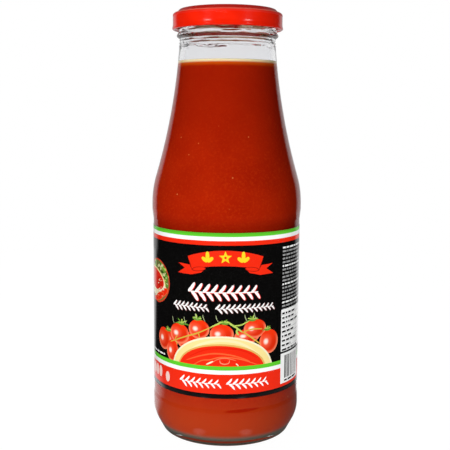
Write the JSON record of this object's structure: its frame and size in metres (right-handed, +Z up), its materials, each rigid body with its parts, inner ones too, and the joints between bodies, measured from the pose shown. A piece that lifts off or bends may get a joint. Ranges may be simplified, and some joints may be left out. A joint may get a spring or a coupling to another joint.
{
  "type": "passata bottle",
  "caption": "Wide-mouthed glass bottle with long sloping shoulders, filled with tomato passata, with a steel twist-off cap and a paper wrap-round label.",
  "frame": {"origin": "middle of the bottle's foot, on the plane it stands on", "axes": "+Z up along the bottle's axis, -Y out of the middle of the label's front, +Y out of the label's glued overlap"},
  "size_m": [0.0774, 0.0774, 0.2181],
  "materials": {
    "clear_glass": "gloss",
    "tomato_passata": "gloss",
    "red_lacquer": "gloss",
    "sealing_compound": "matte",
    "printed_paper": "satin"
  },
  "bodies": {
    "root": {"glass_bottle": "clear_glass", "passata": "tomato_passata", "twist_off_cap": "red_lacquer", "cap_seal": "sealing_compound", "paper_label": "printed_paper"}
  },
  "joints": []
}
